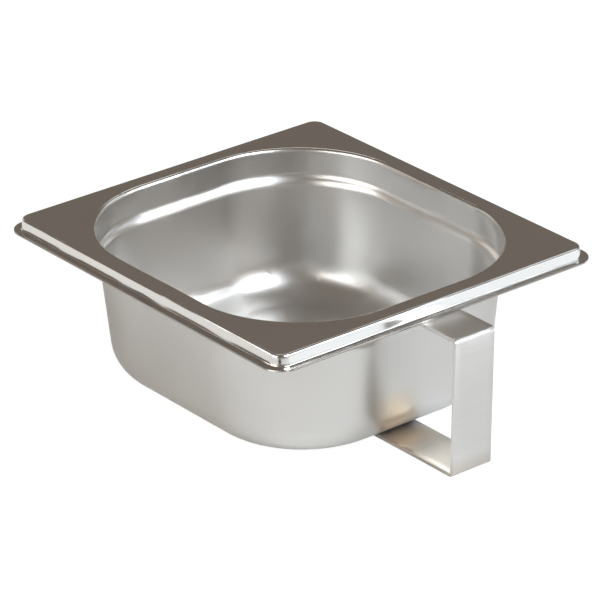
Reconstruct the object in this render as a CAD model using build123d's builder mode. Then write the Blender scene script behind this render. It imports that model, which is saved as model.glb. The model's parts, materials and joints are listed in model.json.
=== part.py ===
from build123d import *
from math import cos, radians, sin, tan
import os

# Small deep-drawn stainless bath pan, one sixth gastronorm size, with a welded strap handle.
# Millimetres. +Z is up, X runs along the handle's side of the pan, the handle points to -Y.
# The origin is under the middle of the whole part, on the surface that it stands on.

# Pan, outer sizes
pan_width = 162.0            # X, over the lip
pan_length = 176.0           # Y, over the lip
pan_depth = 64.0             # rim top to the underside of the bottom
sheet = 0.8                  # the pan's steel sheet

# Rim: flat top, short skirt, lip turned outwards
rim_inset = 3.7              # from the lip's edge to the edge of the flat top
rim_corner = 5.0             # corner radius of the flat top
skirt_drop = 4.8             # rim top to lip top
skirt_flare = 0.7            # the skirt's foot stands this far outside its top
rim_bend = 1.0               # outside radius between flat top and skirt
lip_bend = 0.5               # inside radius between skirt and lip
rim_strip = 2.0              # width of the flat strip that is drawn with the skirt

# Bowl: collar, stacking shoulder, sloping wall and rounded bottom, on the sheet's outer side
collar_width = 139.6         # X, over the collar
collar_corner = 50.0         # its corner radius
mouth_radius = 1.6           # the rim's inner edge, on its upper side
shoulder_top = 12.3          # below the rim's top
shoulder_foot = 15.2
shoulder_step = 2.0          # the wall stands this far inside the collar
shoulder_radius = 5.5
wall_slope = 5.8             # degrees from upright
bottom_radius = 16.0

# Handle: one strip with three straight runs
strap_width = 19.5
strap_thickness = 1.5
strap_reach = 107.75         # from the pan's middle to the top of the outer face
strap_lean = 1.9             # degrees, the outer face comes in towards its foot
strap_bend = 2.0             # outside radius
strap_foot_end = 34.0        # from the pan's middle to the end of the lower leg

# Welds
spot_diameter = 5.0
spot_pitch_x = 9.5
spot_pitch_y = 12.0
spot_edge = 6.0              # from the end of the lower leg to the first spots
bead_leg = 1.8
bead_inset = 1.5             # bare strap at each end of the bead

# Worked out from the values above
pan_y = (strap_reach - pan_length / 2) / 2
rim_z = pan_depth + strap_thickness
corner_x = collar_width / 2 - collar_corner
corner_y = corner_x + (pan_length - pan_width) / 2
wall_x = collar_corner - shoulder_step
wall_foot_x = wall_x - (pan_depth - shoulder_foot) * tan(radians(wall_slope))
rim_corner_x = pan_width / 2 - rim_inset - rim_corner
rim_corner_y = pan_length / 2 - rim_inset - rim_corner
collar_y = corner_y + collar_corner
lip_underside = skirt_drop + sheet

# Frames: the pan's own, at the middle of its rim's top, and the handle's side view
pan_plane = Plane(origin=(0, pan_y, rim_z))
handle_plane = Plane(origin=(0, pan_y, rim_z), x_dir=(0, 1, 0), z_dir=(1, 0, 0))


def x_side(centre_x, centre_y):
    """Section plane of the +X side, at a corner's centre. It looks to -Y."""
    return Plane(origin=(centre_x, pan_y + centre_y, rim_z), x_dir=(1, 0, 0), z_dir=(0, -1, 0))


def y_side(centre_x, centre_y):
    """Section plane of the +Y side, at a corner's centre. It looks to +X."""
    return Plane(origin=(centre_x, pan_y + centre_y, rim_z), x_dir=(0, 1, 0), z_dir=(1, 0, 0))


# Bowl's sheet in section: x from the corner's centre outwards, y up from the rim's top
with BuildSketch() as bowl_section:
    with BuildLine():
        FilletPolyline(
            (0, -pan_depth),
            (wall_foot_x, -pan_depth),
            (wall_x, -shoulder_foot),
            (collar_corner, -shoulder_top),
            (collar_corner, -sheet),
            (collar_corner + mouth_radius, -sheet),
            radius=[bottom_radius, shoulder_radius, shoulder_radius, mouth_radius - sheet],
        )
        offset(amount=sheet, side=Side.LEFT)
    make_face()

# Skirt and lip in section, with a strip of the flat top
with BuildSketch() as rim_section:
    with BuildLine():
        FilletPolyline(
            (rim_corner - rim_strip, 0),
            (rim_corner, 0),
            (rim_corner + skirt_flare, -skirt_drop),
            (rim_corner + rim_inset, -skirt_drop),
            radius=[rim_bend, lip_bend],
        )
        offset(amount=sheet, side=Side.RIGHT)
    make_face()

# The pan is one piece of sheet. A quarter is drawn, then mirrored twice.
with BuildPart() as pan:
    for section, centre_x, centre_y in (
        (bowl_section, corner_x, corner_y),
        (rim_section, rim_corner_x, rim_corner_y),
    ):
        with BuildSketch(x_side(centre_x, centre_y)):
            add(section.sketch_local)
        revolve(axis=Axis((centre_x, pan_y + centre_y, 0), (0, 0, 1)), revolution_arc=90)
        with BuildSketch(x_side(centre_x, centre_y)):
            add(section.sketch_local)
        extrude(amount=centre_y)
        with BuildSketch(y_side(centre_x, centre_y)):
            add(section.sketch_local)
        extrude(amount=-centre_x)
    # flat middle of the bottom
    with BuildSketch(pan_plane.offset(-pan_depth)):
        Rectangle(corner_x, corner_y, align=Align.MIN)
    extrude(amount=sheet)
    # flat top between the mouth and the strip that belongs to the skirt
    with BuildSketch(pan_plane):
        flat_x = rim_corner_x + rim_corner - rim_strip
        flat_y = rim_corner_y + rim_corner - rim_strip
        RectangleRounded(2 * flat_x, 2 * flat_y, rim_corner - rim_strip)
        mouth = collar_corner + mouth_radius
        RectangleRounded(2 * (corner_x + mouth), 2 * (corner_y + mouth), mouth, mode=Mode.SUBTRACT)
        Rectangle(flat_x, flat_y, align=Align.MIN, mode=Mode.INTERSECT)
    extrude(amount=-sheet)
    mirror(about=Plane.YZ)
    mirror(about=Plane.XZ.offset(-pan_y))
pan.part.label = "pan"

# Strap in side view: from the collar outwards under the lip, down, and back under the bottom
top_y = -lip_underside
foot_y = -pan_depth - strap_thickness
foot_reach = strap_reach - (top_y - foot_y) * tan(radians(strap_lean))
spot_row_y = -strap_foot_end - spot_edge - spot_pitch_y / 2

with BuildPart() as handle_strap:
    with BuildSketch(handle_plane):
        with BuildLine():
            FilletPolyline(
                (-collar_y, top_y),
                (-strap_reach, top_y),
                (-foot_reach, foot_y),
                (-strap_foot_end, foot_y),
                radius=strap_bend,
            )
            offset(amount=strap_thickness, side=Side.LEFT)
        make_face()
    extrude(amount=strap_width / 2, both=True)
    # plug-weld holes in the lower leg
    with Locations((0, pan_y + spot_row_y, strap_thickness)):
        with GridLocations(spot_pitch_x, spot_pitch_y, 2, 2):
            Hole(radius=spot_diameter / 2, depth=strap_thickness)
handle_strap.part.label = "handle_strap"

# Weld metal that fills those holes and holds the strap to the pan's bottom
with BuildPart() as lower_welds:
    with Locations((0, pan_y + spot_row_y, 0)):
        with GridLocations(spot_pitch_x, spot_pitch_y, 2, 2):
            Cylinder(
                radius=spot_diameter / 2,
                height=strap_thickness,
                align=(Align.CENTER, Align.CENTER, Align.MIN),
            )
lower_welds.part.label = "lower_welds"

# Fillet bead in the corner between the collar and the underside of the upper leg
with BuildPart() as upper_weld:
    with BuildSketch(handle_plane):
        with BuildLine():
            corner = (-collar_y, top_y - strap_thickness)
            on_strap = (corner[0] - bead_leg, corner[1])
            on_collar = (corner[0], corner[1] - bead_leg)
            Polyline(on_strap, corner, on_collar)
            RadiusArc(on_collar, on_strap, 2 * bead_leg)
        make_face()
    extrude(amount=strap_width / 2 - bead_inset, both=True)
upper_weld.part.label = "upper_weld"

os.makedirs("parts", exist_ok=True)
export_step(pan.part, "parts/pan.step")
export_step(handle_strap.part, "parts/handle_strap.step")
export_step(lower_welds.part, "parts/lower_welds.step")
export_step(upper_weld.part, "parts/upper_weld.step")
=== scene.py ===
import bpy
import json
from math import atan2, cos, hypot, pi, radians, sin, tan
from mathutils import Matrix, Vector

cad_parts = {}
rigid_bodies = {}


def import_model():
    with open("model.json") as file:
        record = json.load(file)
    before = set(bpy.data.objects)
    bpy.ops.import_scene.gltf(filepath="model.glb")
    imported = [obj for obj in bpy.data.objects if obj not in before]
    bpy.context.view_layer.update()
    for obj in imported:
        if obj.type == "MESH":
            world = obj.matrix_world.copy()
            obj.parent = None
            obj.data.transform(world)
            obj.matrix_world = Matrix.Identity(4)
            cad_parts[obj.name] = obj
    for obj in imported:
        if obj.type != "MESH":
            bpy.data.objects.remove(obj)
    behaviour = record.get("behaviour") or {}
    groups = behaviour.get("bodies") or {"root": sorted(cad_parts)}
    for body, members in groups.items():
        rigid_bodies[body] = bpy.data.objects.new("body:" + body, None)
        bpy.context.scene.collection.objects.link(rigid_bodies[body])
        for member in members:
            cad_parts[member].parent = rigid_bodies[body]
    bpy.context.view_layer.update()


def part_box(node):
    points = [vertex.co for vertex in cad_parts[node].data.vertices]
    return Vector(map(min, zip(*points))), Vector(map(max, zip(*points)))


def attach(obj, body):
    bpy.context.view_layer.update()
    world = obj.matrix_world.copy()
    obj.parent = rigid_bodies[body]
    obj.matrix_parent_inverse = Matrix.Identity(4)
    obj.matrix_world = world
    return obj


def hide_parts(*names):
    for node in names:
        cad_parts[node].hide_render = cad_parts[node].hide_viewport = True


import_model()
mm = 0.001
tiny = 0.002 * mm

# the pan is drawn about its own middle, at the top of its rim, and then moved here
panLow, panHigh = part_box("pan")
panPlace = Vector((0, (panLow[1] + panHigh[1]) / 2, panHigh[2]))


# camera

camera = dict(
    azimuth=-38.469,      # degrees, 0 looks along +Y
    elevation=25.414,
    roll=-0.826,
    distance=1749.88,     # mm, from the middle of the rim
    aside=0.585,          # mm, across the view
    up=-27.457,
    lens=263.34,
    sensor=36,
    nearest=0.05,         # m
    farthest=50,
)


def placeCamera(c):
    a, e, r = radians(c["azimuth"]), radians(c["elevation"]), radians(c["roll"])
    turn = Matrix.Rotation(a, 3, "Z") @ Matrix.Rotation(pi / 2 - e, 3, "X") @ Matrix.Rotation(r, 3, "Z")
    across, upwards, back = turn.col[0], turn.col[1], turn.col[2]
    place = panPlace + (back * c["distance"] + across * c["aside"] + upwards * c["up"]) * mm
    bpy.ops.object.camera_add(location=place, rotation=turn.to_euler())
    eye = bpy.context.object
    eye.name = "viewCamera"
    eye.data.lens = c["lens"]
    eye.data.sensor_width = c["sensor"]
    eye.data.clip_start = c["nearest"]
    eye.data.clip_end = c["farthest"]
    bpy.context.scene.camera = eye


placeCamera(camera)
print("camera placed")


# shader wiring

class Wire:
    def __init__(self, tree, socket):
        self.tree = tree
        self.socket = socket

    def maths(self, operation, *others):
        values = dict(enumerate((self,) + others))
        return self.tree.add("Math", dict(operation=operation), values)["Value"]

    def __add__(self, other):
        return self.maths("ADD", other)

    def __radd__(self, other):
        return self.maths("ADD", other)

    def __sub__(self, other):
        return self.maths("SUBTRACT", other)

    def __rsub__(self, other):
        return self.tree.number(other).maths("SUBTRACT", self)

    def __mul__(self, other):
        return self.maths("MULTIPLY", other)

    def __rmul__(self, other):
        return self.maths("MULTIPLY", other)

    def __truediv__(self, other):
        return self.maths("DIVIDE", other)

    def __abs__(self):
        return self.maths("ABSOLUTE")

    def ramp(self, low, high, start=0.0, end=1.0):
        settings = dict(interpolation_type="SMOOTHSTEP")
        values = {"Value": self, "From Min": low, "From Max": high, "To Min": start, "To Max": end}
        return self.tree.add("MapRange", settings, values)["Result"]


class Outs:
    def __init__(self, tree, node):
        self.tree = tree
        self.node = node

    def __getitem__(self, name):
        return Wire(self.tree, self.node.outputs[name])


class NodeTree:
    def __init__(self, tree):
        self.tree = tree
        self.tree.nodes.clear()

    def add(self, kind, settings, values):
        node = self.tree.nodes.new("ShaderNode" + kind)
        for key, value in settings.items():
            setattr(node, key, value)
        for key, value in values.items():
            if isinstance(value, Wire):
                self.tree.links.new(value.socket, node.inputs[key])
            else:
                node.inputs[key].default_value = value
        return Outs(self, node)

    def number(self, value):
        return self.add("Math", dict(operation="ADD"), {0: value, 1: 0.0})["Value"]

    def blend(self, factor, first, second, way="MIX"):
        # the colour sockets of the Mix node are 6, 7 and, going out, 2
        node = self.add("Mix", dict(data_type="RGBA", blend_type=way), {0: factor, 6: first, 7: second})
        return node[2]

    def vector(self, operation, *parts):
        return self.add("VectorMath", dict(operation=operation), dict(enumerate(parts)))

    def noise(self, where, scale, detail=2.0, roughness=0.5):
        values = {"Vector": where, "Scale": scale, "Detail": detail, "Roughness": roughness}
        return self.add("TexNoise", {}, values)["Fac"]

    def stretched(self, where, scale):
        return self.add("Mapping", {}, {"Vector": where, "Scale": scale})["Vector"]


def newMaterial(name):
    material = bpy.data.materials.new(name)
    material.use_nodes = True
    return material, NodeTree(material.node_tree)


# floor and light

studio = dict(
    floorSize=8.0,
    floorDrop=0.05,                     # mm, clear of the strap's foot
    floorColour=(0.915, 0.915, 0.908, 1),
    floorRoughness=(0.86, 0.92),
    floorGrain=40.0,
    floorGloss=0.1,
    backdropWhite=1.16,                 # the paper's own glow in the camera's view, so that it looks white
    backdropShare=0.80,                 # how much of it, and the rest is the lit paper with its shadow
    roomColour=(0.190, 0.163, 0.139, 1),
    panels=[
        # name, azimuth, elevation, distance, width, height,
        # stands upright, soft edge, brighter to the right, brightness, colour
        ("softboxLeft", -96, 19, 1.3, 1.5, 0.95, False, 0.12, 0.0, 3.1, (1.0, 0.975, 0.94)),
        ("softboxFront", 13, 45, 1.0, 1.0, 1.45, True, 0.03, 0.30, 4.9, (0.895, 0.95, 1.0)),
        ("fillRight", 74, 36, 1.3, 0.72, 0.9, False, 0.14, 0.0, 1.0, (0.96, 0.985, 1.0)),
        ("fillLow", 50, 3, 1.2, 0.9, 0.26, False, 0.14, 0.0, 2.2, (0.92, 0.965, 1.0)),
        ("backTop", 144, 56, 1.3, 0.75, 0.5, False, 0.14, 0.0, 1.0, (1.0, 0.97, 0.93)),
        ("backLeft", -165, 20, 1.3, 0.8, 0.5, False, 0.14, 0.0, 1.0, (1.0, 0.93, 0.85)),
    ],
    cardRise=2,                         # mm above the paper
    cards=[
        # reflectors and a dark flag that lie on the paper
        # name, azimuth, distance, width, length, brightness, colour
        ("cardRight", 38, 0.66, 0.34, 0.90, 1.25, (0.93, 0.97, 1.0)),
        ("cardLeft", -141, 0.66, 0.34, 0.90, 0.95, (1.0, 0.975, 0.95)),
        ("flagFront", -48, 0.66, 0.16, 0.90, 0.13, (1.0, 0.93, 0.86)),
    ],
)


def addFloor(s):
    bpy.ops.mesh.primitive_plane_add(size=s["floorSize"], location=(0, 0, -s["floorDrop"] * mm))
    floor = bpy.context.object
    floor.name = "studioFloor"
    material, tree = newMaterial("palePaper")
    where = tree.add("TexCoord", {}, {})["Object"]
    grain = tree.noise(where, s["floorGrain"], 3.0)
    values = {"Base Color": s["floorColour"], "Roughness": grain.ramp(0.3, 0.7, *s["floorRoughness"])}
    values["Specular IOR Level"] = s["floorGloss"]
    paper = tree.add("BsdfPrincipled", {}, values)
    white = tree.add("Emission", {}, {"Color": (1, 1, 1, 1), "Strength": s["backdropWhite"]})
    shadow = tree.add("MixShader", {}, {0: s["backdropShare"], 1: paper["BSDF"], 2: white["Emission"]})
    seen = tree.add("LightPath", {}, {})["Is Camera Ray"]
    both = tree.add("MixShader", {}, {0: seen, 1: paper["BSDF"], 2: shadow["Shader"]})
    tree.add("OutputMaterial", {}, {"Surface": both["Shader"]})
    floor.data.materials.append(material)


def addPanel(name, azimuth, elevation, distance, width, height, upright, softness, lean, power, colour):
    # a softbox: a white sheet that fades at its edges, and may be brighter to the right
    a, e = radians(azimuth), radians(elevation)
    away = Vector((sin(a), -cos(a), tan(e))) * distance
    if not upright:
        away *= cos(e)
    facing = Vector((sin(a), -cos(a), 0 if upright else tan(e)))
    bpy.ops.mesh.primitive_plane_add(size=1, location=away,
                                     rotation=facing.to_track_quat("Z", "Y").to_euler())
    panel = bpy.context.object
    panel.name = name
    panel.scale = (width, height, 1)
    material, tree = newMaterial(name + "Light")
    place = tree.add("TexCoord", {}, {})["Object"]
    parts = tree.add("SeparateXYZ", {}, {"Vector": place})
    aside = abs(parts["X"]).ramp(0.5 - softness, 0.5, 1.0, 0.0)
    along = abs(parts["Y"]).ramp(0.5 - softness, 0.5, 1.0, 0.0)
    sloped = (parts["X"] * 2 * lean + 1) / (1 + lean)
    glow = tree.blend(aside * along * sloped, (0, 0, 0, 1), (*colour, 1))
    light = tree.add("Emission", {}, {"Color": glow, "Strength": power * (1 + lean)})
    tree.add("OutputMaterial", {}, {"Surface": light["Emission"]})
    panel.data.materials.append(material)
    panel.visible_camera = False


def addCard(rise, name, azimuth, distance, width, length, brightness, colour):
    # only the steel sees it, so it neither shows nor lights the paper
    a = radians(azimuth)
    place = (sin(a) * distance, -cos(a) * distance, rise * mm)
    bpy.ops.mesh.primitive_plane_add(size=1, location=place, rotation=(0, 0, a))
    card = bpy.context.object
    card.name = name
    card.scale = (width, length, 1)
    material, tree = newMaterial(name + "Paper")
    light = tree.add("Emission", {}, {"Color": (*colour, 1), "Strength": brightness})
    tree.add("OutputMaterial", {}, {"Surface": light["Emission"]})
    card.data.materials.append(material)
    card.visible_camera = False
    card.visible_diffuse = False
    card.visible_shadow = False


def addSurround(s):
    world = bpy.data.worlds.new("studioRoom")
    bpy.context.scene.world = world
    world.use_nodes = True
    tree = NodeTree(world.node_tree)
    light = tree.add("Background", {}, {"Color": s["roomColour"], "Strength": 1.0})
    tree.add("OutputWorld", {}, {"Surface": light["Background"]})


bpy.context.scene.view_settings.view_transform = "Standard"
addFloor(studio)
for panelSettings in studio["panels"]:
    addPanel(*panelSettings)
for cardSettings in studio["cards"]:
    addCard(studio["cardRise"], *cardSettings)
addSurround(studio)
print("floor and light placed")


# modelling helpers

def clearSelection():
    if bpy.context.object and bpy.context.object.mode != "OBJECT":
        bpy.ops.object.mode_set(mode="OBJECT")
    bpy.ops.object.select_all(action="DESELECT")


def newPoint(name, place):
    # a small plane closed up to one point, in edit mode and selected
    clearSelection()
    bpy.ops.mesh.primitive_plane_add(size=mm, location=(0, 0, 0))
    piece = bpy.context.object
    piece.name = name
    piece.data.name = name
    bpy.ops.object.mode_set(mode="EDIT")
    bpy.ops.mesh.select_mode(type="VERT")
    bpy.ops.mesh.merge(type="CENTER")
    bpy.ops.transform.translate(value=place)
    return piece


def addPoint(place):
    bpy.ops.mesh.select_mode(type="VERT")
    bpy.ops.mesh.select_all(action="DESELECT")
    bpy.ops.mesh.primitive_plane_add(size=mm, location=(0, 0, 0))
    bpy.ops.mesh.merge(type="CENTER")
    bpy.ops.transform.translate(value=place)


def pick(piece, kind, test):
    # verts and edges are tested by their points, faces by their middle and normal
    modes = {"verts": "VERT", "edges": "EDGE", "faces": "FACE"}
    bpy.ops.mesh.select_mode(type=modes[kind])
    bpy.ops.mesh.select_all(action="DESELECT")
    bpy.ops.object.mode_set(mode="OBJECT")
    mesh = piece.data
    if kind == "verts":
        for vertex in mesh.vertices:
            vertex.select = test(vertex.co)
    if kind == "edges":
        for edge in mesh.edges:
            edge.select = all(test(mesh.vertices[end].co) for end in edge.vertices)
    if kind == "faces":
        for face in mesh.polygons:
            face.select = test(face.center, face.normal)
    bpy.ops.object.mode_set(mode="EDIT")


def spinRound(centre, axis, turn, steps):
    # the operator turns against the right hand rule, so the angle is negated
    bpy.ops.mesh.spin(steps=steps, angle=-turn, center=centre, axis=axis)


def drawSection(start, line, radii, steps, parts, across):
    # carries the selected point along straight runs and round bends; line is in mm from start
    upwards = Vector((0, 0, 1))
    axis = across.cross(upwards) * -1
    points = [Vector(p) for p in line]
    here = points[0]
    for index in range(1, len(points)):
        corner = points[index]
        heading = (corner - points[index - 1]).normalized()
        turn = 0
        reach = 0
        if index < len(points) - 1:
            leaving = (points[index + 1] - corner).normalized()
            turn = atan2(heading.x * leaving.y - heading.y * leaving.x, heading.dot(leaving))
            reach = radii[index - 1] * tan(abs(turn) / 2)
        run = (corner - heading * reach - here) / parts[index - 1]
        for part in range(parts[index - 1]):
            step = (across * run.x + upwards * run.y) * mm
            bpy.ops.mesh.extrude_vertices_move(TRANSFORM_OT_translate={"value": step})
        here = corner - heading * reach
        if turn:
            side = Vector((-heading.y, heading.x)) * (1 if turn > 0 else -1)
            middle = here + side * radii[index - 1]
            centre = start + (across * middle.x + upwards * middle.y) * mm
            spinRound(centre, axis, -turn, steps[index - 1])
            here = corner + leaving * reach


def extrudeEdges(step):
    bpy.ops.mesh.extrude_edges_move(TRANSFORM_OT_translate={"value": step})


def tidyShell(piece, upwardsAt):
    # doubles first, then the normals; upwardsAt picks faces that look up on a sheet that is right
    bpy.ops.mesh.select_all(action="SELECT")
    bpy.ops.mesh.remove_doubles(threshold=tiny)
    bpy.ops.mesh.normals_make_consistent(inside=False)
    bpy.ops.object.mode_set(mode="OBJECT")
    looks = [face.normal.z * face.area for face in piece.data.polygons if upwardsAt(face.center)]
    bpy.ops.object.mode_set(mode="EDIT")
    if sum(looks) < 0:
        bpy.ops.mesh.flip_normals()
    bpy.ops.object.mode_set(mode="OBJECT")


def applyModifier(piece, kind, **settings):
    clearSelection()
    bpy.context.view_layer.objects.active = piece
    piece.select_set(True)
    modifier = piece.modifiers.new(kind.lower(), kind)
    for key, value in settings.items():
        setattr(modifier, key, value)
    bpy.ops.object.modifier_apply(modifier=modifier.name)


def finishPiece(piece, place, material, node):
    clearSelection()
    bpy.context.view_layer.objects.active = piece
    piece.select_set(True)
    piece.location = place
    bpy.ops.object.transform_apply(location=True, rotation=True, scale=True)
    bpy.ops.object.shade_smooth()
    piece.data.materials.clear()
    piece.data.materials.append(material)
    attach(piece, "root")
    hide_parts(node)


# finishes

# what all the steel shares; sizes are repeats per metre
steelCommon = dict(
    cloudSize=22.0,
    cloudTint=0.97,                    # how much darker the clouds are
    noiseRange=(0.3, 0.7),             # nearly all of a noise lies between these
    streakChange=0.06,                 # how far each noise moves the roughness
    cloudChange=0.06,
    grainChange=0.02,
    heatCore=0.1,                      # the share of each heat-tint and painted-shade mark that has its full colour
)
# drawn sheet: satin on the bowl, brighter on the rim
panFinish = dict(
    tint=(0.762, 0.750, 0.732),
    roughness=0.315,
    streakSize=(170, 170, 4),          # drawing marks run up and down the walls
    grainSize=(1300, 1300, 1300),
    streakRelief=0.00008,              # mm
    grainRelief=0.00003,
    rimRoughness=0.13,
    rimEdges=(74.6, 81.6, 65.2),       # outside these, in mm from the middle, the sheet is rim
    cutEdges=(80.75, 87.75),           # and outside these the sheared edge of the lip is painted dark: partly its own duller tone, mostly painted shade
    cutTint=(0.40, 0.375, 0.35, 1),
    cutFade=0.2,                       # mm
    rimFade=1.0,
    topFade=0.3,
    floorRise=(3.0, 8.0),              # below these heights the bottom is rougher
    floorRoughness=0.06,
    # the first mark is partly heat tint by the weld and partly a painted reflection of the warm lower leg;
    # the second is heat tint
    heatMarks=[((-9, -62, 15), (16, 14, 14), 0.9, (0.98, 0.86, 0.72)),
               ((0, -36, 0), (17, 14, 6), 0.6, (1.0, 0.84, 0.68))],
)
# rolled strip: its grain runs across the handle
strapFinish = dict(
    tint=(0.762, 0.750, 0.732),
    roughness=0.32,
    brushing=0.035,
    streakSize=(30, 1500, 1500),
    grainSize=(60, 2600, 2600),
    streakRelief=0.00008,
    grainRelief=0.00003,
    # the first and last marks are heat tint; the second is painted shade: the lower leg darkened, with a
    # warm cast, for what it reflects
    heatMarks=[((-3, -60, 1), (22, 13, 9), 0.9, (1.0, 0.86, 0.72)),
               ((0, -82, 1), (60, 34, 9), 0.9, (0.76, 0.705, 0.63)),
               ((0, -36, 0), (17, 16, 6), 0.8, (1.0, 0.84, 0.68))],
)
weldFinish = dict(
    tint=(0.50, 0.485, 0.46),
    roughness=0.34,
    streakSize=(500, 500, 500),
    grainSize=(1800, 1800, 1800),
    streakRelief=0.006,
    grainRelief=0.003,
    heatMarks=[],
)


def steelFinish(name, f, s=steelCommon):
    material, tree = newMaterial(name)
    where = tree.add("TexCoord", {}, {})["Object"]
    streaks = tree.noise(tree.stretched(where, f["streakSize"]), 1.0, 1.0, 0.5)
    grain = tree.noise(tree.stretched(where, f["grainSize"]), 1.0, 3.0, 0.6)
    clouds = tree.noise(where, s["cloudSize"], 2.0, 0.5)
    low, high = s["noiseRange"]
    darker = [part * s["cloudTint"] for part in f["tint"]]
    colour = tree.blend(clouds.ramp(low, high), (*darker, 1), (*f["tint"], 1))
    if "brushing" in f:
        dull = 1 - f["brushing"]
        colour = tree.blend(streaks.ramp(low, high, 1.0, 0.0), colour, (dull, dull, dull, 1), "MULTIPLY")
    # heat tint near the welds, plus the painted shade and painted reflection marks noted in the finishes
    for middle, size, strength, heatAndShadeColour in f["heatMarks"]:
        away = tree.vector("SUBTRACT", where, Vector(middle) * mm)["Vector"]
        near = tree.vector("LENGTH", tree.vector("DIVIDE", away, Vector(size) * mm)["Vector"])["Value"]
        heatAndShade = near.ramp(s["heatCore"], 1.0, strength, 0.0)
        colour = tree.blend(heatAndShade, colour, (*heatAndShadeColour, 1), "MULTIPLY")
    if "rimEdges" in f:
        parts = tree.add("SeparateXYZ", {}, {"Vector": where})
        aside, along = abs(parts["X"]), abs(parts["Y"] - panPlace.y)
        # painted shade: the sheared edge of the lip is darkened, partly its own duller tone, mostly
        # standing in for the dark reflection along the lip
        shadeEdgeX, shadeEdgeY = [edge * mm for edge in f["cutEdges"]]
        fade = f["cutFade"] * mm
        shearedEdgeAndShade = aside.ramp(shadeEdgeX - fade, shadeEdgeX).maths("MAXIMUM", along.ramp(shadeEdgeY - fade, shadeEdgeY))
        colour = tree.blend(shearedEdgeAndShade, colour, f["cutTint"])
    rough = f["roughness"] + (streaks - 0.5) * s["streakChange"] + (clouds - 0.5) * s["cloudChange"]
    rough = rough + (grain - 0.5) * s["grainChange"]
    if "rimEdges" in f:
        wide, far, top = [edge * mm for edge in f["rimEdges"]]
        fade = f["rimFade"] * mm
        rim = aside.ramp(wide - fade, wide).maths("MAXIMUM", along.ramp(far - fade, far))
        rim = rim.maths("MAXIMUM", parts["Z"].ramp(top - f["topFade"] * mm, top))
        rough = rough - rim * (f["roughness"] - f["rimRoughness"])
        levels = [level * mm for level in f["floorRise"]]
        rough = rough + parts["Z"].ramp(*levels, f["floorRoughness"], 0.0)
    height = streaks * f["streakRelief"] + grain * f["grainRelief"]
    bump = tree.add("Bump", {}, {"Height": height, "Strength": 1.0, "Distance": mm})
    values = {"Base Color": colour, "Metallic": 1.0, "Roughness": rough, "Normal": bump["Normal"]}
    steel = tree.add("BsdfPrincipled", {}, values)
    tree.add("OutputMaterial", {}, {"Surface": steel["BSDF"]})
    return material


panSteel = steelFinish("panSteel", panFinish)
strapSteel = steelFinish("strapSteel", strapFinish)
weldSteel = steelFinish("weldMetal", weldFinish)
print("finishes made")


# pan: one pressed sheet, drawn on its upper side

pan = dict(
    sheet=0.8,
    bowlCorner=(19.8, 26.8),       # where the corners of collar and wall have their centre
    bowlLine=[(0, -63.2), (42.320, -63.2), (47.225, -14.915), (49.2, -12.051), (49.2, 0), (51.6, 0)],
    bowlBends=[15.2, 6.3, 4.7, 1.6],
    bowlSteps=[16, 10, 10, 8],
    bowlParts=[4, 8, 1, 2, 2],
    rimCorner=(72.3, 79.3),
    rimLine=[(3.0, 0), (5.0, 0), (5.7, -4.8), (8.7, -4.8)],
    rimBends=[1.0, 0.5],
    rimSteps=[8, 6],
    rimParts=[3, 3, 3],
    cornerSteps=56,
    sideParts=6,
    edgeRounding=0.16,
)


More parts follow.
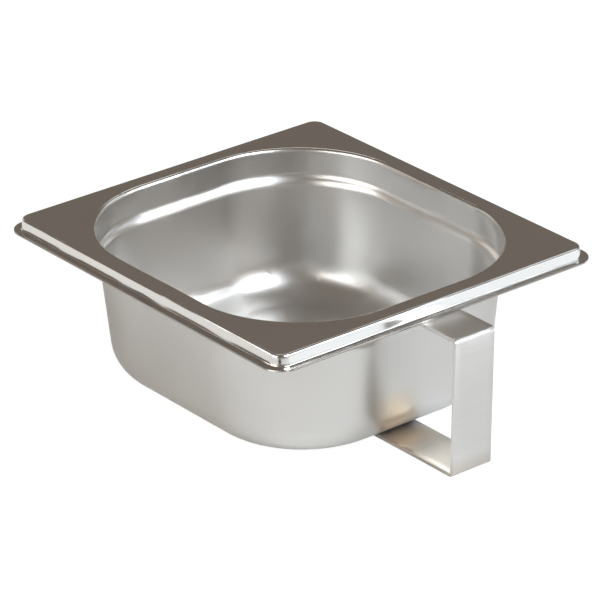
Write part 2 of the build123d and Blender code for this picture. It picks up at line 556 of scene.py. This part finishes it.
def buildPan(p):
    piece = newPoint("pan_sheet", (0, 0, 0))
    bpy.ops.mesh.delete(type="VERT")
    for corner, line, bends, steps, parts in (
        (p["bowlCorner"], p["bowlLine"], p["bowlBends"], p["bowlSteps"], p["bowlParts"]),
        (p["rimCorner"], p["rimLine"], p["rimBends"], p["rimSteps"], p["rimParts"]),
    ):
        middle = Vector((corner[0], corner[1], 0)) * mm
        addPoint(middle + Vector((line[0][0], 0, line[0][1])) * mm)
        drawSection(middle, line, bends, steps, parts, Vector((1, 0, 0)))
        bpy.ops.mesh.select_linked()
        spinRound(middle, (0, 0, 1), pi / 2, p["cornerSteps"])
        bpy.ops.mesh.select_all(action="SELECT")
        bpy.ops.mesh.remove_doubles(threshold=tiny)
        # the straight sides, from the two ends of the corner to the middle of the pan

        def onFirstEnd(point, middle=middle):
            return abs(point.y - middle.y) < tiny and point.x > middle.x - tiny

        def onLastEnd(point, middle=middle):
            return abs(point.x - middle.x) < tiny and point.y > middle.y - tiny

        pick(piece, "edges", onFirstEnd)
        for part in range(p["sideParts"]):
            extrudeEdges((0, -middle.y / p["sideParts"], 0))
        pick(piece, "edges", onLastEnd)
        for part in range(p["sideParts"]):
            extrudeEdges((-middle.x / p["sideParts"], 0, 0))
        if corner == p["bowlCorner"]:
            # flat middle of the bottom
            floorZ = line[0][1] * mm

            def onFloorEdge(point, middle=middle, floorZ=floorZ):
                inLine = abs(point.x - middle.x) < tiny and abs(point.z - floorZ) < tiny
                return inLine and point.y < middle.y + tiny

            pick(piece, "edges", onFloorEdge)
            for part in range(p["sideParts"]):
                extrudeEdges((-middle.x / p["sideParts"], 0, 0))

    def fromCorner(point, corner):
        aside = max(point.x / mm - corner[0], 0)
        along = max(point.y / mm - corner[1], 0)
        return hypot(aside, along)

    def onFlatEdges(point):
        onMouth = abs(fromCorner(point, p["bowlCorner"]) - p["bowlLine"][-1][0]) < 0.01
        onRim = abs(fromCorner(point, p["rimCorner"]) - p["rimLine"][0][0]) < 0.01
        return abs(point.z) < tiny and (onMouth or onRim)

    bpy.ops.mesh.select_all(action="SELECT")
    bpy.ops.mesh.remove_doubles(threshold=tiny)
    pick(piece, "edges", onFlatEdges)
    bpy.ops.mesh.bridge_edge_loops(number_cuts=4, interpolation="LINEAR")
    applyModifier(piece, "MIRROR", use_axis=(True, True, False), merge_threshold=tiny)
    bpy.ops.object.mode_set(mode="EDIT")
    tidyShell(piece, lambda middle: abs(middle.z) < tiny)
    applyModifier(piece, "SOLIDIFY", thickness=p["sheet"] * mm, offset=-1, use_even_offset=True)
    applyModifier(piece, "BEVEL", width=p["edgeRounding"] * mm, segments=3, limit_method="ANGLE",
                  angle_limit=radians(50))
    applyModifier(piece, "WEIGHTED_NORMAL", weight=70)
    finishPiece(piece, panPlace, panSteel, "pan")
    return piece


panPiece = buildPan(pan)
print("pan built:", len(panPiece.data.polygons), "faces")


# strap: one strip of steel under the rim, down the side and back under the bottom

strap = dict(
    width=19.5,
    thickness=1.5,
    # outer face, from the pan's middle
    line=[(76.8, -5.6), (107.75, -5.6), (105.762, -65.5), (34.0, -65.5)],
    bends=[2.0, 2.0],
    steps=[12, 12],
    parts=[4, 8, 10],
    widthParts=6,
    edgeRounding=0.15,
    holes=[(-4.75, -52.0), (4.75, -52.0), (-4.75, -40.0), (4.75, -40.0)],
    holeRadius=2.5,
)


def buildStrap(s):
    across = Vector((0, -1, 0))
    side = Vector((-s["width"] / 2, 0, 0)) * mm
    start = side + (across * s["line"][0][0] + Vector((0, 0, s["line"][0][1]))) * mm
    piece = newPoint("handle_strip", start)
    drawSection(side, s["line"], s["bends"], s["steps"], s["parts"], across)
    bpy.ops.mesh.select_all(action="SELECT")
    for part in range(s["widthParts"]):
        extrudeEdges((s["width"] * mm / s["widthParts"], 0, 0))
        # the new row stays selected
    topLeg = s["line"][0][1] * mm
    tidyShell(piece, lambda middle: abs(middle.z - topLeg) < tiny)
    applyModifier(piece, "SOLIDIFY", thickness=s["thickness"] * mm, offset=-1, use_even_offset=True)
    cutters = []
    for place in s["holes"]:
        clearSelection()
        middle = Vector((place[0], place[1], s["line"][-1][1])) * mm
        bpy.ops.mesh.primitive_cylinder_add(vertices=40, radius=s["holeRadius"] * mm, depth=8 * mm,
                                            location=middle)
        cutters.append(bpy.context.object)
    for cutter in cutters:
        applyModifier(piece, "BOOLEAN", operation="DIFFERENCE", object=cutter, solver="EXACT")
        bpy.data.objects.remove(cutter)
    applyModifier(piece, "BEVEL", width=s["edgeRounding"] * mm, segments=3, limit_method="ANGLE",
                  angle_limit=radians(50))
    applyModifier(piece, "WEIGHTED_NORMAL", weight=70)
    finishPiece(piece, panPlace, strapSteel, "handle_strap")
    return piece


strapPiece = buildStrap(strap)
print("strap built:", len(strapPiece.data.polygons), "faces")


# plug welds in the lower leg, and the bead under the upper one

plugWeld = dict(
    radius=2.5,
    depth=1.5,
    places=strap["holes"],
    # inset and rise, from the edge inwards
    rings=[(0.35, 0.0), (0.35, 0.22), (0.55, -0.08), (0.5, 0.12)],
)


def buildPlugWelds(w):
    copies = []
    for place in w["places"]:
        clearSelection()
        low = Vector((place[0], place[1], strap["line"][-1][1] + w["depth"] / 2)) * mm
        bpy.ops.mesh.primitive_cylinder_add(vertices=48, radius=w["radius"] * mm, depth=w["depth"] * mm,
                                            location=low)
        copies.append(bpy.context.object)
        bpy.ops.object.transform_apply(location=True)
        bpy.ops.object.mode_set(mode="EDIT")
        pick(bpy.context.object, "faces", lambda middle, normal: normal.z < -0.9)
        for inset, rise in w["rings"]:
            bpy.ops.mesh.inset(thickness=inset * mm, depth=0)
            bpy.ops.transform.translate(value=(0, 0, rise * mm))
        bpy.ops.object.mode_set(mode="OBJECT")
    clearSelection()
    for copy in copies:
        copy.select_set(True)
    bpy.context.view_layer.objects.active = copies[0]
    bpy.ops.object.join()
    piece = bpy.context.object
    piece.name = "plug_welds"
    applyModifier(piece, "BEVEL", width=0.12 * mm, segments=2, limit_method="ANGLE",
                  angle_limit=radians(20))
    finishPiece(piece, panPlace, weldSteel, "lower_welds")
    return piece


beadWeld = dict(
    corner=(76.8, -7.1),       # where the strap's underside meets the collar, from the pan's middle
    leg=1.8,
    length=16.5,
    arcSteps=8,
    ripples=26,
    rippleHeight=0.10,
)


def buildBead(w):
    corner = Vector((-w["length"] / 2, -w["corner"][0], w["corner"][1])) * mm
    leg = w["leg"] * mm
    piece = newPoint("bead_weld", corner)
    # along the strap, then round the face of the fillet, and back to the corner
    bpy.ops.mesh.extrude_vertices_move(TRANSFORM_OT_translate={"value": (0, -leg, 0)})
    reach = 2 * leg
    half = (reach ** 2 - leg ** 2 / 2) ** 0.5 / 2 ** 0.5
    centre = corner + Vector((0, half - leg / 2, half - leg / 2))
    turn = 2 * atan2(leg / 2 ** 0.5, (reach ** 2 - leg ** 2 / 2) ** 0.5)
    spinRound(centre, (1, 0, 0), turn, w["arcSteps"])
    bpy.ops.mesh.select_all(action="SELECT")
    bpy.ops.mesh.edge_face_add()
    step = w["length"] * mm / (w["ripples"] * 4)
    size = 1.0
    for count in range(w["ripples"] * 4):
        bpy.ops.mesh.extrude_region_move(TRANSFORM_OT_translate={"value": (step, 0, 0)})
        wave = (count + 1) % 4 / 4
        nextSize = 1.0 - w["rippleHeight"] * (1 - abs(2 * wave - 1))
        middle = corner + Vector(((count + 1) * step, 0, 0))
        change = nextSize / size
        bpy.ops.transform.resize(value=(1, change, change), center_override=middle)
        size = nextSize
    bpy.ops.mesh.select_all(action="SELECT")
    bpy.ops.mesh.remove_doubles(threshold=tiny)
    bpy.ops.mesh.normals_make_consistent(inside=False)
    bpy.ops.object.mode_set(mode="OBJECT")
    finishPiece(piece, panPlace, weldSteel, "upper_weld")
    return piece


plugPiece = buildPlugWelds(plugWeld)
beadPiece = buildBead(beadWeld)
print("welds built")
